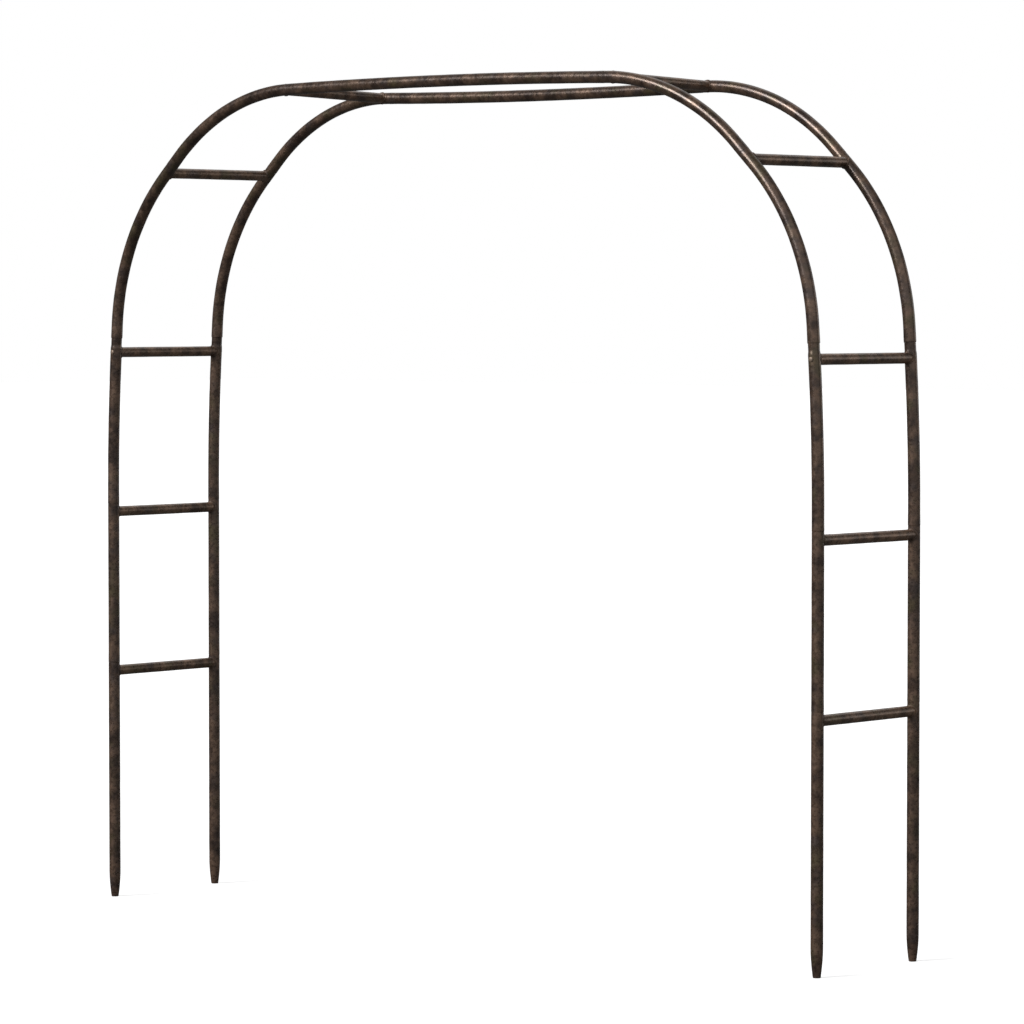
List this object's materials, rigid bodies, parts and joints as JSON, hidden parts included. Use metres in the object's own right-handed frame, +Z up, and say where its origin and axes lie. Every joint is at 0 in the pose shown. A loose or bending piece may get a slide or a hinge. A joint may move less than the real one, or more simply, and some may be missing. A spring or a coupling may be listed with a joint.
{
  "type": "garden arbor",
  "caption": "Free-standing garden arch of bronze-painted steel tube: a front and a back hoop with round shoulders and a flat top, joined by rungs, on tapered leg tips.",
  "frame": {"origin": "on the ground, midway between the four leg tips", "axes": "+X from the left legs to the right legs, +Y from the front hoop to the back hoop, +Z up"},
  "size_m": [2.4, 0.41, 2.1627],
  "materials": {
    "bronze_paint": "satin hammered bronze paint"
  },
  "bodies": {
    "root": {"leg_foot_front_left": "bronze_paint", "leg_foot_front_right": "bronze_paint", "leg_foot_back_left": "bronze_paint", "leg_foot_back_right": "bronze_paint", "leg_middle_front_left": "bronze_paint", "leg_middle_front_right": "bronze_paint", "leg_middle_back_left": "bronze_paint", "leg_middle_back_right": "bronze_paint", "leg_top_front_left": "bronze_paint", "leg_top_front_right": "bronze_paint", "leg_top_back_left": "bronze_paint", "leg_top_back_right": "bronze_paint", "shoulder_low_front_left": "bronze_paint", "shoulder_low_front_right": "bronze_paint", "shoulder_low_back_left": "bronze_paint", "shoulder_low_back_right": "bronze_paint", "shoulder_high_front_left": "bronze_paint", "shoulder_high_front_right": "bronze_paint", "shoulder_high_back_left": "bronze_paint", "shoulder_high_back_right": "bronze_paint", "top_rail_front": "bronze_paint", "top_rail_back": "bronze_paint", "rung_low_left": "bronze_paint", "rung_low_right": "bronze_paint", "rung_middle_left": "bronze_paint", "rung_middle_right": "bronze_paint", "rung_high_left": "bronze_paint", "rung_high_right": "bronze_paint", "rung_shoulder_left": "bronze_paint", "rung_shoulder_right": "bronze_paint", "rung_top_left": "bronze_paint", "rung_top_right": "bronze_paint"}
  },
  "joints": []
}
